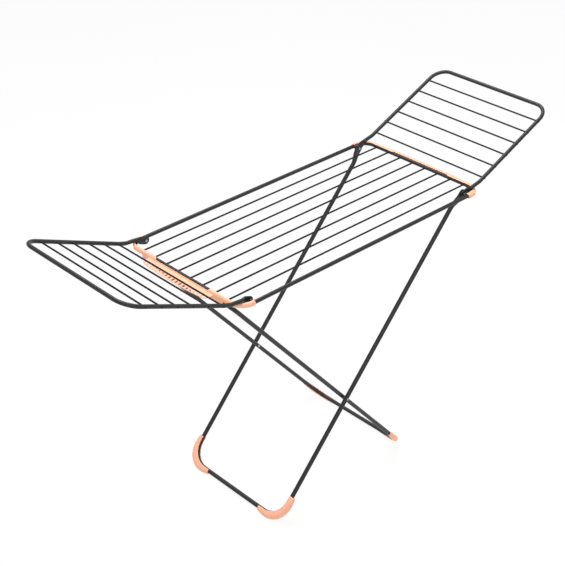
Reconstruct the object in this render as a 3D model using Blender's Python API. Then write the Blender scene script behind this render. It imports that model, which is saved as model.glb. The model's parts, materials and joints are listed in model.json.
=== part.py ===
"""Folding winged clothes drying rack: a wired deck on crossed leg frames, with two hinged wings.

Metres, +Z up, +X along the deck, origin on the floor below the middle of the rack.
"""
import math

import bmesh
import bpy
from mathutils import Matrix, Vector

# ---- driving dimensions ------------------------------------------------------------------
TUBE_R = 0.0065            # deck and wing tubes
OUTER_LEG_R = 0.0075       # outer leg frame tubes
INNER_LEG_R = 0.0070       # inner leg frame tubes
WIRE_R = 0.0028            # drying wires
GAP = 0.0003               # air between neighbouring pieces
TAIL = 0.0040              # straight tube past each end of a bend
RUN = 0.00008              # radial running clearance on the hinge rivets

DECK_Z = 0.9510            # centre plane of the deck above the floor
DECK_HALF_W = 0.2700       # to the centre of a side tube
DECK_LEFT_X = -0.5275      # centre of the left end tube
DECK_RIGHT_X = 0.5450      # centre of the right end tube
DECK_CORNER_R = 0.0450
DECK_TAIL = 0.0200         # straight tube past each deck corner, up to the side tube
DECK_WIRES = 8
DECK_PITCH = 0.0587

WING_HALF_W = 0.2546
WING_WIRES = 6
WING_WIRE_X = 0.5842       # first wing wire
WING_WIRE_RISE = 0.0290    # first wing wire above the deck plane
WING_DX = 0.0555           # step from wire to wire
WING_DZ = 0.0240
WING_END_X = 0.9240        # centre of the outer tube of a wing
WING_CORNER_R = 0.0550
LEFT_HINGE_X = -0.4770
RIGHT_HINGE_X = 0.4880

OUTER_HALF_W = 0.2332
OUTER_FOOT_X = -0.3650
INNER_HALF_W = 0.2174
INNER_FOOT_X = 0.2446
INNER_BAR = (-0.5254, -0.0165)   # top bar of the inner frame, x and height from the deck plane
FOOT_BAR_Z = 0.0109        # centre of both base tubes above the floor
LEG_CORNER_R = 0.0600
INNER_TOP_R = 0.0400

WING_PLATE_T = 0.0052      # flattened tube ends
LEG_PLATE_T = 0.0062
PLATE_HALF_H = 0.0105
WING_PLATE_Y = 0.2510
LEG_PLATE_Y = 0.2445
RIVET_R = 0.0030
HEAD_R = 0.0060
COLLAR_R = 0.0060          # spacer on the wing rivets, between plate and side tube

COVER_WALL = 0.0020
LEDGE_HALF_W = 0.1600      # hanger ledge of the left cover
LEDGE_REACH = 0.0500       # outer edge of the ledge, from the centre of the end tube
LEDGE_T = 0.0024
LEDGE_SLOTS = 17
SLOT_PITCH = 0.0174
SLOT_WIDTH = 0.0088
SLOT_LENGTH = 0.0138
SLOT_REACH = 0.0402        # middle of the slot row, from the centre of the end tube
FOOT_LENGTH = 0.1000       # along the leg and along the base, from the sharp corner

# ---- scene and materials -----------------------------------------------------------------
for old in list(bpy.data.objects):
    bpy.data.objects.remove(old, do_unlink=True)


def make_material(name, colour, roughness, metallic):
    """A plain Principled material."""
    mat = bpy.data.materials.new(name)
    mat.use_nodes = True
    shader = mat.node_tree.nodes["Principled BSDF"]
    shader.inputs["Base Color"].default_value = (*colour, 1.0)
    shader.inputs["Roughness"].default_value = roughness
    shader.inputs["Metallic"].default_value = metallic
    return mat


LOOKS = {
    "tube": ((0.045, 0.045, 0.046), 0.45, 0.1),
    "wire": ((0.020, 0.020, 0.021), 0.45, 0.1),
    "moulding": ((0.95, 0.52, 0.33), 0.42, 0.0),
    "rivet": ((0.60, 0.60, 0.61), 0.30, 1.0),
}


def make_object(name, bm, look, origin=(0.0, 0.0, 0.0)):
    """Turn a bmesh in world coordinates into a named object with its origin at `origin`."""
    bmesh.ops.remove_doubles(bm, verts=bm.verts, dist=1e-6)
    bmesh.ops.recalc_face_normals(bm, faces=bm.faces)
    bmesh.ops.translate(bm, verts=bm.verts, vec=-Vector(origin))
    mesh = bpy.data.meshes.new(name)
    bm.to_mesh(mesh)
    bm.free()
    obj = bpy.data.objects.new(name, mesh)
    obj.location = origin
    bpy.context.scene.collection.objects.link(obj)
    mesh.materials.append(make_material(name, *LOOKS[look]))
    mesh.shade_smooth()
    mesh.set_sharp_from_angle(angle=math.radians(40))
    return obj


def cutter(name, bm):
    """A hidden wire-display body for a Boolean."""
    bmesh.ops.recalc_face_normals(bm, faces=bm.faces)
    mesh = bpy.data.meshes.new(name)
    bm.to_mesh(mesh)
    bm.free()
    obj = bpy.data.objects.new(name, mesh)
    bpy.context.scene.collection.objects.link(obj)
    obj.hide_render = True
    obj.display_type = "WIRE"
    return obj


def boolean(obj, tool, operation):
    """Add an exact Boolean; the tool moves with the object's own frame through its parent."""
    mod = obj.modifiers.new(operation.lower(), "BOOLEAN")
    mod.operation = operation
    mod.solver = "EXACT"
    mod.object = tool


# ---- shape builders ----------------------------------------------------------------------
def bridge_rings(bm, rings):
    """Skin a list of vertex rings and close both ends."""
    made = [[bm.verts.new(p) for p in ring] for ring in rings]
    for lower, upper in zip(made, made[1:]):
        count = len(lower)
        for i in range(count):
            j = (i + 1) % count
            bm.faces.new((lower[i], lower[j], upper[j], upper[i]))
    bm.faces.new(made[0][::-1])
    bm.faces.new(made[-1])


def tangents(points):
    """Unit direction of a polyline at each of its points."""
    steps = [(b - a).normalized() for a, b in zip(points, points[1:])]
    steps = [steps[0]] + steps + [steps[-1]]
    return [(a + b).normalized() for a, b in zip(steps, steps[1:])]


def loft(stations, up, sides=12):
    """Tube through (centre, half size across, half size along `up`) stations."""
    up = Vector(up)
    centres = [Vector(s[0]) for s in stations]
    rings = []
    for (_, across, along), centre, ahead in zip(stations, centres, tangents(centres)):
        side = ahead.cross(up).normalized()
        ring = []
        for k in range(sides):
            turn = 2 * math.pi * (k + 0.5) / sides
            ring.append(centre + side * across * math.cos(turn) + up * along * math.sin(turn))
        rings.append(ring)
    bm = bmesh.new()
    bridge_rings(bm, rings)
    return bm


def round_path(corners, radius, steps=6):
    """Polyline through `corners` whose inner corners are rounded to `radius`."""
    corners = [Vector(c) for c in corners]
    path = [corners[0]]
    for before, corner, after in zip(corners, corners[1:], corners[2:]):
        a = (before - corner).normalized()
        b = (after - corner).normalized()
        half = a.angle(b) / 2
        reach = radius / math.tan(half)
        centre = corner + (a + b).normalized() * radius / math.sin(half)
        start = corner + a * reach - centre
        axis = start.cross(corner + b * reach - centre).normalized()
        sweep = math.pi - 2 * half
        for k in range(steps + 1):
            path.append(centre + Matrix.Rotation(sweep * k / steps, 3, axis) @ start)
    path.append(corners[-1])
    return path


def round_tube(path, radius, up, sides=12):
    """Constant round tube along a flat path whose plane is square to `up`."""
    return loft([(p, radius, radius) for p in path], up, sides)


def rod(start, end, radius, sides=12):
    """Straight round bar between two points."""
    start = Vector(start)
    end = Vector(end)
    ahead = (end - start).normalized()
    up = Vector((0, 0, 1)) if abs(ahead.z) < 0.9 else Vector((1, 0, 0))
    side = ahead.cross(up).normalized()
    up = side.cross(ahead)
    rings = []
    for centre in (start, end):
        ring = []
        for k in range(sides):
            turn = 2 * math.pi * (k + 0.5) / sides
            ring.append(centre + (side * math.cos(turn) + up * math.sin(turn)) * radius)
        rings.append(ring)
    bm = bmesh.new()
    bridge_rings(bm, rings)
    return bm


def rods(bars, sides=12):
    """Several separate bars in one cutter."""
    whole = bmesh.new()
    for start, end, radius in bars:
        single = rod(start, end, radius, sides)
        mesh = bpy.data.meshes.new("bar")
        single.to_mesh(mesh)
        single.free()
        whole.from_mesh(mesh)
        bpy.data.meshes.remove(mesh)
    return whole


def box(low, high):
    """Axis-aligned box."""
    bm = bmesh.new()
    bmesh.ops.create_cube(bm, size=1.0)
    size = Vector(high) - Vector(low)
    bmesh.ops.scale(bm, verts=bm.verts, vec=size)
    bmesh.ops.translate(bm, verts=bm.verts, vec=(Vector(low) + Vector(high)) / 2)
    return bm


def channel(path, up, tube_r, wall, opening, outward, steps=8):
    """C-shaped clip around a tube path; `wall` gives the thickness at each path point.

    `outward` is +1 or -1: the side of the path, across `up`, that the closed back faces.
    """
    up = Vector(up)
    rings = []
    inner_r = tube_r + 0.0005
    for point, ahead, thick in zip(path, tangents(path), wall):
        side = ahead.cross(up).normalized() * outward
        inner = []
        outer = []
        for k in range(steps + 1):
            turn = (k / steps * 2 - 1) * (math.pi - opening)
            back = max(0.0, math.cos(turn)) ** 2
            outer_r = inner_r + COVER_WALL + (thick - COVER_WALL) * back
            ray = side * math.cos(turn) + up * math.sin(turn)
            inner.append(point + ray * inner_r)
            outer.append(point + ray * outer_r)
        rings.append(inner + outer[::-1])
    bm = bmesh.new()
    bridge_rings(bm, rings)
    return bm


def rivet(name, x, z, side, y_head, y_tail, tail_head, collar=None):
    """Rivet along Y: domed head at `y_head`, shank to `y_tail`, with a second head if wanted.

    `collar` gives the two Y values between which the shank is thickened as a spacer.
    """
    profile = [(0.0008, -0.0024), (HEAD_R * 0.62, -0.0020), (HEAD_R, -0.0007), (HEAD_R, 0.0)]
    profile += [(RIVET_R, 0.0)]
    length = y_tail - y_head
    if collar:
        low, high = collar[0] - y_head, collar[1] - y_head
        profile += [(RIVET_R, low), (COLLAR_R, low), (COLLAR_R, high), (RIVET_R, high)]
    if tail_head:
        profile += [(RIVET_R, length), (HEAD_R * 0.85, length), (HEAD_R * 0.85, length + 0.0006)]
        profile += [(HEAD_R * 0.5, length + 0.0018), (0.0008, length + 0.0021)]
    else:
        profile += [(RIVET_R, length)]
    rings = []
    sides = 20
    for radius, reach in profile:
        ring = []
        for k in range(sides):
            turn = 2 * math.pi * k / sides
            across = Vector((math.cos(turn), 0, math.sin(turn))) * radius
            ring.append(Vector((x, side * (y_head + reach), z)) + across)
        rings.append(ring)
    bm = bmesh.new()
    bridge_rings(bm, rings)
    return make_object(name, bm, "rivet", (x, side * y_head, z))


SIDES = (("near", -1), ("far", 1))


# ---- deck --------------------------------------------------------------------------------
def deck_ends():
    """Two end tubes with their rounded corners, drilled for the wires and the hinge rivets."""
    for name, end_x, inward, hinge_x in (
        ("left", DECK_LEFT_X, 1, LEFT_HINGE_X),
        ("right", DECK_RIGHT_X, -1, RIGHT_HINGE_X),
    ):
        start_x = end_x + inward * (DECK_CORNER_R + DECK_TAIL - GAP / 2)
        corners = [(start_x, -DECK_HALF_W, DECK_Z), (end_x, -DECK_HALF_W, DECK_Z)]
        corners += [(end_x, DECK_HALF_W, DECK_Z), (start_x, DECK_HALF_W, DECK_Z)]
        path = round_path(corners, DECK_CORNER_R)
        tube = make_object("deck_end_" + name, round_tube(path, TUBE_R, (0, 0, 1)), "tube")
        bars = []
        for y in wire_rows():
            bars.append(((end_x + inward * 0.0200, y, DECK_Z), (end_x, y, DECK_Z), WIRE_R + GAP))
        for y in (-DECK_HALF_W, DECK_HALF_W):
            bars.append(((hinge_x, y - 0.02, DECK_Z), (hinge_x, y + 0.02, DECK_Z), RIVET_R + GAP))
        boolean(tube, cutter("holes_deck_end_" + name, rods(bars)), "DIFFERENCE")


def wire_rows():
    """Y of each deck wire."""
    return [(i - (DECK_WIRES - 1) / 2) * DECK_PITCH for i in range(DECK_WIRES)]


def deck_sides():
    """Straight side tubes."""
    start_x = DECK_LEFT_X + DECK_CORNER_R + DECK_TAIL + GAP / 2
    end_x = DECK_RIGHT_X - DECK_CORNER_R - DECK_TAIL - GAP / 2
    for name, side in SIDES:
        y = side * DECK_HALF_W
        bm = rod((start_x, y, DECK_Z), (end_x, y, DECK_Z), TUBE_R)
        make_object("deck_side_" + name, bm, "tube")


def deck_wires():
    """Lengthwise drying wires."""
    reach = 0.0010
    for i, y in enumerate(wire_rows()):
        start = (DECK_LEFT_X + reach, y, DECK_Z)
        bm = rod(start, (DECK_RIGHT_X - reach, y, DECK_Z), WIRE_R, 10)
        make_object("deck_wire_%d" % (i + 1), bm, "wire")


def cover_path(end_x, inward, side_x):
    """Centre line of a deck end, from side tube to side tube."""
    corners = [(side_x, -DECK_HALF_W, DECK_Z), (end_x, -DECK_HALF_W, DECK_Z)]
    corners += [(end_x, DECK_HALF_W, DECK_Z), (side_x, DECK_HALF_W, DECK_Z)]
    return round_path(corners, DECK_CORNER_R)


def ledge_edge(y):
    """X of the ledge's outer edge: nearly straight, falling back and rounded at both ends."""
    across = abs(y)
    edge = DECK_LEFT_X - LEDGE_REACH + 0.0085 * (across / 0.146) ** 3
    past = max(0.0, across - LEDGE_HALF_W + 0.010)
    return edge + 0.010 - math.sqrt(max(0.0, 0.010**2 - past**2))


def hanger_ledge():
    """Flat plate standing out level from the left end cover."""
    root_x = DECK_LEFT_X - 0.0078
    half = LEDGE_T / 2
    rings = []
    steps = 12
    for i in range(-steps, steps + 1):
        share = i / steps
        y = LEDGE_HALF_W * math.copysign(1 - (1 - abs(share)) ** 2, share)
        x = ledge_edge(y)
        corners = ((root_x, -half), (x, -half), (x, half), (root_x, half))
        rings.append([Vector((cx, y, DECK_Z + cz)) for cx, cz in corners])
    bm = bmesh.new()
    bridge_rings(bm, rings)
    return bm


def hanger_slots():
    """Row of hanger slots through the ledge, following its outer edge."""
    bars = []
    for i in range(LEDGE_SLOTS):
        y = (i - (LEDGE_SLOTS - 1) / 2) * SLOT_PITCH
        x = DECK_LEFT_X - SLOT_REACH + 0.0045 * (abs(y) / 0.14) ** 3
        low = (x - SLOT_LENGTH / 2, y - SLOT_WIDTH / 2, DECK_Z - 0.004)
        bars.append((low, (x + SLOT_LENGTH / 2, y + SLOT_WIDTH / 2, DECK_Z + 0.004)))
    whole = bmesh.new()
    for low, high in bars:
        single = box(low, high)
        mesh = bpy.data.meshes.new("slot")
        single.to_mesh(mesh)
        single.free()
        whole.from_mesh(mesh)
        bpy.data.meshes.remove(mesh)
    return whole


def end_covers():
    """Clip-on end mouldings, cut back over the middle; the left one carries the hanger ledge."""
    for name, end_x, inward, side_x, step in (
        ("left", DECK_LEFT_X, 1, -0.4750, -0.0062),
        ("right", DECK_RIGHT_X, -1, 0.4860, 0.0005),
    ):
        path = cover_path(end_x, inward, side_x)
        wall = [COVER_WALL] * len(path)
        bm = channel(path, (0, 0, 1), TUBE_R, wall, math.radians(72), -inward)
        cover = make_object("end_cover_" + name, bm, "moulding")
        face_x = end_x + inward * step
        low_x = min(face_x, face_x + inward * 0.03)
        notch = box((low_x, -0.128, DECK_Z + 0.0042), (low_x + 0.03, 0.128, DECK_Z + 0.02))
        boolean(cover, cutter("notch_" + name, notch), "DIFFERENCE")
        if name == "left":
            boolean(cover, cutter("hanger_ledge", hanger_ledge()), "UNION")
            lip_x = INNER_BAR[0] - INNER_LEG_R - 0.0006
            low = (lip_x - 0.0024, -0.195, DECK_Z - 0.0210)
            lip = box(low, (lip_x, 0.195, DECK_Z - 0.0045))
            boolean(cover, cutter("hook_lip", lip), "UNION")
            boolean(cover, cutter("hanger_slots", hanger_slots()), "DIFFERENCE")
        else:
            flange = box((end_x + 0.0078, -0.155, DECK_Z - 0.0012), (end_x + 0.0200, 0.155, DECK_Z + 0.0012))
            boolean(cover, cutter("right_lip", flange), "UNION")


# ---- wings -------------------------------------------------------------------------------
def wing_rise(x):
    """Height of a wing's straight part above the deck plane at distance x from the middle."""
    return WING_WIRE_RISE + (x - WING_WIRE_X) * WING_DZ / WING_DX


def flat_end(x0, z0, aim, plate_y, tube_y):
    """Stations of a flattened, rounded tube end that pivots at (x0, z0) in the XZ plane."""
    across = Vector((aim[0], 0, aim[1])).normalized()
    rows = []
    for back, half in ((-0.0105, 0.0030), (-0.0092, 0.0062), (-0.0058, 0.0090), (0.0, PLATE_HALF_H)):
        rows.append((back, half, WING_PLATE_T / 2, plate_y))
    rows.append((0.0240, PLATE_HALF_H, WING_PLATE_T / 2, plate_y))
    rows.append((0.0305, 0.0090, 0.0036, plate_y + (tube_y - plate_y) * 0.40))
    rows.append((0.0365, 0.0066, 0.0060, plate_y + (tube_y - plate_y) * 0.88))
    out = []
    for back, half, thick, y in rows:
        point = Vector((x0, 0, z0)) + across * back
        out.append(((point.x, y, point.z), half, thick))
    return out


def wing(name, direction, hinge_x, bend):
    """U-shaped wing frame on two hinge plates, with its cross wires."""
    slope = Vector((WING_DX, WING_DZ)).normalized()
    hinge = Vector((hinge_x, 0, DECK_Z))
    stop_x = WING_END_X - (WING_CORNER_R + TAIL + GAP / 2) * slope.x
    stop = (stop_x, wing_rise(stop_x))
    points = list(bend) + [stop]
    aim = (points[0][0] - abs(hinge_x), points[0][1])
    for side_name, side in SIDES:
        rows = flat_end(abs(hinge_x), 0.0, aim, WING_PLATE_Y, WING_HALF_W)
        rows += [((x, WING_HALF_W, z), TUBE_R, TUBE_R) for x, z in points]
        stations = []
        for (x, y, z), half, thick in rows:
            stations.append(((direction * x, side * y, DECK_Z + z), half, thick))
        bm = loft(stations, (0, 1, 0))
        arm = make_object("%s_wing_arm_%s" % (name, side_name), bm, "tube", hinge)
        y = side * WING_HALF_W
        bars = [((hinge_x, y - 0.02, DECK_Z), (hinge_x, y + 0.02, DECK_Z), RIVET_R + RUN)]
        rivet_hole = cutter("pivot_%s_%s" % (name, side_name), rods(bars, 20))
        boolean(arm, rivet_hole, "DIFFERENCE")
        bars = []
        for i in range(WING_WIRES):
            x = direction * (WING_WIRE_X + i * WING_DX)
            z = DECK_Z + WING_WIRE_RISE + i * WING_DZ
            bars.append(((x, y - 0.02, z), (x, y + 0.02, z), WIRE_R + GAP))
        holes = cutter("holes_%s_%s" % (name, side_name), rods(bars, 10))
        boolean(arm, holes, "DIFFERENCE")
    start_x = WING_END_X - (WING_CORNER_R + TAIL - GAP / 2) * slope.x
    corners = []
    for x, y in ((start_x, -1), (WING_END_X, -1), (WING_END_X, 1), (start_x, 1)):
        corners.append((direction * x, y * WING_HALF_W, DECK_Z + wing_rise(x)))
    path = round_path(corners, WING_CORNER_R)
    up = (-direction * slope.y, 0, slope.x)
    make_object(name + "_wing_end", round_tube(path, TUBE_R, up), "tube", hinge)
    reach = WING_HALF_W + TUBE_R + 0.0004
    for i in range(WING_WIRES):
        x = direction * (WING_WIRE_X + i * WING_DX)
        z = DECK_Z + WING_WIRE_RISE + i * WING_DZ
        bm = rod((x, -reach, z), (x, reach, z), WIRE_R, 10)
        make_object("%s_wing_wire_%d" % (name, i + 1), bm, "wire", hinge)


# ---- leg frames --------------------------------------------------------------------------
OUTER_TOP = Vector((RIGHT_HINGE_X, 0, DECK_Z))
OUTER_FOOT = Vector((OUTER_FOOT_X, 0, FOOT_BAR_Z))
INNER_TOP = Vector((INNER_BAR[0], 0, DECK_Z + INNER_BAR[1]))
INNER_FOOT = Vector((INNER_FOOT_X, 0, FOOT_BAR_Z))


def crossing():
    """Point in the XZ plane where the two leg frames cross."""
    run_a = OUTER_FOOT - OUTER_TOP
    run_b = INNER_FOOT - INNER_TOP
    apart = INNER_TOP - OUTER_TOP
    share = (apart.x * run_b.z - apart.z * run_b.x) / (run_a.x * run_b.z - run_a.z * run_b.x)
    return OUTER_TOP + run_a * share


PIVOT = crossing()


def leg_base(name, top, foot, half_w, radius, origin):
    """Base tube of a leg frame with its two bottom bends."""
    climb = (top - foot).normalized()
    start = foot + climb * (LEG_CORNER_R + TAIL - GAP / 2)
    corners = []
    for point, side in ((start, -1), (foot, -1), (foot, 1), (start, 1)):
        corners.append((point.x, side * half_w, point.z))
    path = round_path(corners, LEG_CORNER_R)
    up = climb.cross(Vector((0, 1, 0)))
    make_object(name, round_tube(path, radius, up), "tube", origin)


def outer_leg():
    """Outer frame: cranked out at the top to flattened ends on the deck's right hinge."""
    climb = (OUTER_TOP - OUTER_FOOT).normalized()
    face = climb.cross(Vector((0, 1, 0)))
    leg_base("leg_outer_base", OUTER_TOP, OUTER_FOOT, OUTER_HALF_W, OUTER_LEG_R, PIVOT)
    foot = OUTER_FOOT + climb * (LEG_CORNER_R + TAIL + GAP / 2)
    thin = LEG_PLATE_T / 2
    shape = [(-0.0108, LEG_PLATE_Y, thin, 0.0030), (-0.0095, LEG_PLATE_Y, thin, 0.0064)]
    shape += [(-0.0060, LEG_PLATE_Y, thin, 0.0092), (0.0, LEG_PLATE_Y, thin, 0.0112)]
    shape += [(0.0150, LEG_PLATE_Y, thin, 0.0112), (0.0270, LEG_PLATE_Y - 0.0025, 0.0042, 0.0104)]
    shape += [(0.0420, OUTER_HALF_W + 0.0042, 0.0062, 0.0088), (0.0620, OUTER_HALF_W, 0.0075, 0.0075)]
    for side_name, side in SIDES:
        stations = []
        for back, y, thick, half in shape:
            point = OUTER_TOP - climb * back
            stations.append(((point.x, side * y, point.z), thick, half))
        stations.append(((foot.x, side * OUTER_HALF_W, foot.z), OUTER_LEG_R, OUTER_LEG_R))
        bm = loft(stations, face)
        leg = make_object("leg_outer_" + side_name, bm, "tube", PIVOT)
        y = side * OUTER_HALF_W
        bars = [((PIVOT.x, y - 0.015, PIVOT.z), (PIVOT.x, y + 0.015, PIVOT.z), RIVET_R + GAP)]
        boolean(leg, cutter("rivet_hole_outer_" + side_name, rods(bars, 20)), "DIFFERENCE")
        y = side * LEG_PLATE_Y
        top = [((OUTER_TOP.x, y - 0.01, OUTER_TOP.z), (OUTER_TOP.x, y + 0.01, OUTER_TOP.z), RIVET_R + RUN)]
        boolean(leg, cutter("pivot_hole_outer_" + side_name, rods(top, 20)), "DIFFERENCE")


def inner_leg():
    """Inner frame: a closed loop whose top bar sits in the hook below the left end."""
    climb = (INNER_TOP - INNER_FOOT).normalized()
    face = climb.cross(Vector((0, 1, 0)))
    leg_base("leg_inner_base", INNER_TOP, INNER_FOOT, INNER_HALF_W, INNER_LEG_R, PIVOT)
    low = INNER_FOOT + climb * (LEG_CORNER_R + TAIL + GAP / 2)
    high = INNER_TOP - climb * (INNER_TOP_R + TAIL + GAP / 2)
    for side_name, side in SIDES:
        y = side * INNER_HALF_W
        bm = round_tube([Vector((high.x, y, high.z)), Vector((low.x, y, low.z))], INNER_LEG_R, face)
        leg = make_object("leg_inner_" + side_name, bm, "tube", PIVOT)
        bars = [((PIVOT.x, y - 0.015, PIVOT.z), (PIVOT.x, y + 0.015, PIVOT.z), RIVET_R + RUN)]
        boolean(leg, cutter("pivot_hole_inner_" + side_name, rods(bars, 20)), "DIFFERENCE")
    start = INNER_TOP - climb * (INNER_TOP_R + TAIL - GAP / 2)
    corners = []
    for point, side in ((start, -1), (INNER_TOP, -1), (INNER_TOP, 1), (start, 1)):
        corners.append((point.x, side * INNER_HALF_W, point.z))
    path = round_path(corners, INNER_TOP_R)
    make_object("leg_inner_bar", round_tube(path, INNER_LEG_R, face), "tube", PIVOT)


def feet(name, top, foot, half_w, radius):
    """Moulded corner boots, flat underneath, thickest on the outside of the bend."""
    climb = (top - foot).normalized()
    up = climb.cross(Vector((0, 1, 0)))
    for side_name, side in SIDES:
        high = foot + climb * FOOT_LENGTH
        corners = [(high.x, side * half_w, high.z), (foot.x, side * half_w, foot.z)]
        corners += [(foot.x, side * (half_w - FOOT_LENGTH), foot.z)]
        path = round_path(corners, LEG_CORNER_R)
        sharp = Vector(corners[1])
        wall = []
        for point in path:
            near = max(0.0, 1 - (point - sharp).length / FOOT_LENGTH)
            wall.append(0.0038 + 0.0075 * near ** 0.8)
        outward = side
        bm = channel(path, up, radius, wall, math.radians(62), outward, 8)
        geometry = bm.verts[:] + bm.edges[:] + bm.faces[:]
        cut = bmesh.ops.bisect_plane(
            bm, geom=geometry, dist=1e-7, plane_co=(0, 0, 0), plane_no=(0, 0, -1), clear_outer=True
        )
        rim = [e for e in cut["geom_cut"] if isinstance(e, bmesh.types.BMEdge)]
        bmesh.ops.holes_fill(bm, edges=rim, sides=0)
        make_object("foot_%s_%s" % (name, side_name), bm, "moulding", PIVOT)


def rivets():
    """Wing, leg and crossing rivets."""
    for side_name, side in SIDES:
        tail = DECK_HALF_W + TUBE_R - 0.0010
        collar = (WING_PLATE_Y + WING_PLATE_T / 2 + GAP, DECK_HALF_W - TUBE_R - GAP)
        head = WING_PLATE_Y - WING_PLATE_T / 2 - GAP
        rivet("wing_rivet_" + side_name, LEFT_HINGE_X, DECK_Z, side, head, tail, False, collar)
        head = LEG_PLATE_Y - LEG_PLATE_T / 2 - GAP
        rivet("hinge_rivet_" + side_name, RIGHT_HINGE_X, DECK_Z, side, head, tail, False, collar)
        head = INNER_HALF_W - INNER_LEG_R - GAP
        tail = OUTER_HALF_W + OUTER_LEG_R + GAP
        rivet("cross_rivet_" + side_name, PIVOT.x, PIVOT.z, side, head, tail, True)


deck_ends()
deck_sides()
deck_wires()
end_covers()
wing("left", -1, LEFT_HINGE_X, [(0.5140, 0.0172), (0.5500, 0.0188), (0.5720, wing_rise(0.5720))])
wing("right", 1, RIGHT_HINGE_X, [(0.5290, 0.0160), (0.5600, wing_rise(0.5600))])
outer_leg()
inner_leg()
feet("outer", OUTER_TOP, OUTER_FOOT, OUTER_HALF_W, OUTER_LEG_R)
feet("inner", INNER_TOP, INNER_FOOT, INNER_HALF_W, INNER_LEG_R)
rivets()
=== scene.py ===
"""Winged clothes drying rack: smooth bent tubes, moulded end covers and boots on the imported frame."""
import json
import math

import bpy
import numpy as np
from mathutils import Matrix, Vector


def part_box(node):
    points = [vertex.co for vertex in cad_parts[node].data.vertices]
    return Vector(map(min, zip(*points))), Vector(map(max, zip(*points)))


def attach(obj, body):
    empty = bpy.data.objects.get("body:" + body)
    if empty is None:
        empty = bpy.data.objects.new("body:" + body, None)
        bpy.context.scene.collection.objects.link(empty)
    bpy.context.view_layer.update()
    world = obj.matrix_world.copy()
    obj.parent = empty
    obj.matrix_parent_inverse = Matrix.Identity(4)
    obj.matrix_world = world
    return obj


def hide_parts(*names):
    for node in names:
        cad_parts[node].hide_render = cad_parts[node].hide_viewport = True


bl_info = {
    "name": "Winged Drying Rack",
    "version": (1, 0, 0),
    "blender": (4, 5, 0),
    "location": "3D View > Sidebar > Drying Rack",
    "description": "Builds the bent tubes, wires, covers, boots and rivets of a winged drying rack",
    "category": "Add Mesh",
}

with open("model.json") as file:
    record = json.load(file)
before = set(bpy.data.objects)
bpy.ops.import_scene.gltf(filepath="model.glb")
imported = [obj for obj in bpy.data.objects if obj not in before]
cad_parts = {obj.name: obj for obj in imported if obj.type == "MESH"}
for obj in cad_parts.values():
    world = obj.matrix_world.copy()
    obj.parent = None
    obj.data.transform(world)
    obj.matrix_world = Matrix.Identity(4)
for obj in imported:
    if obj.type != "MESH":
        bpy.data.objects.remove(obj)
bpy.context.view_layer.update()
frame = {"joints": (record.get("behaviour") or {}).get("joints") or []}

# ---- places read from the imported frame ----
FACET = math.cos(math.pi / 12)  # a twelve-sided tube is this much narrower across its flats


def low(node):
    """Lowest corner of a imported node."""
    return np.array(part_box(node)[0])


def high(node):
    """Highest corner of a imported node."""
    return np.array(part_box(node)[1])


def middle(node):
    """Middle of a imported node's box."""
    return (low(node) + high(node)) / 2


def joint_at(name):
    """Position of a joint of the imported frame."""
    return np.array([j["pos_m"] for j in frame["joints"] if j["name"] == name][0])


def half_height(node):
    """Radius of a level twelve-sided tube."""
    return (high(node)[2] - low(node)[2]) / 2 / FACET


COAT = 0.0002  # thickness of the baked coat on the bare steel
TUBE = round(half_height("deck_side_near"), 4)
WIRE = round((high("deck_wire_1")[2] - low("deck_wire_1")[2]) / 2, 4)
OUTER_TUBE = 0.0075
INNER_TUBE = 0.0070
DECK_Z = middle("deck_side_near")[2]
DECK_SIDE = abs(middle("deck_side_near")[1])
LEFT_END = low("deck_end_left")[0] + TUBE * FACET
RIGHT_END = high("deck_end_right")[0] - TUBE * FACET
LEFT_HINGE = joint_at("left_wing_hinge")
RIGHT_HINGE = joint_at("right_wing_hinge")
CROSSING = joint_at("leg_crossing")
WING_SIDE = high("left_wing_arm_far")[1] - TUBE * FACET
WING_OUT = high("right_wing_end")[0] - TUBE
OUTER_SIDE = high("leg_outer_base")[1] - OUTER_TUBE
INNER_SIDE = high("leg_inner_base")[1] - INNER_TUBE
OUTER_FOOT = np.array([low("leg_outer_base")[0] + OUTER_TUBE, low("leg_outer_base")[2] + OUTER_TUBE])
INNER_FOOT = np.array([high("leg_inner_base")[0] - INNER_TUBE, low("leg_inner_base")[2] + INNER_TUBE])
INNER_TOP = np.array([low("leg_inner_bar")[0] + INNER_TUBE, high("leg_inner_bar")[2] - INNER_TUBE])
OUTER_TOP = RIGHT_HINGE[[0, 2]]
CLEARANCE = 0.0005  # air between a tube and the moulding clipped round it


# ---- shapes worked out as whole arrays ----
def unit(v):
    """Each vector divided by its own length."""
    return v / np.linalg.norm(v, axis=-1, keepdims=True)


def ease(t):
    """Smooth step: three t squared less two t cubed, held between 0 and 1."""
    t = np.clip(t, 0.0, 1.0)
    return t * t * (3 - 2 * t)


def run_length(path):
    """Length along a path up to each of its points: the running sum of the steps."""
    steps = np.linalg.norm(np.diff(path, axis=0), axis=1)
    return np.concatenate([[0.0], np.cumsum(steps)])


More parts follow.
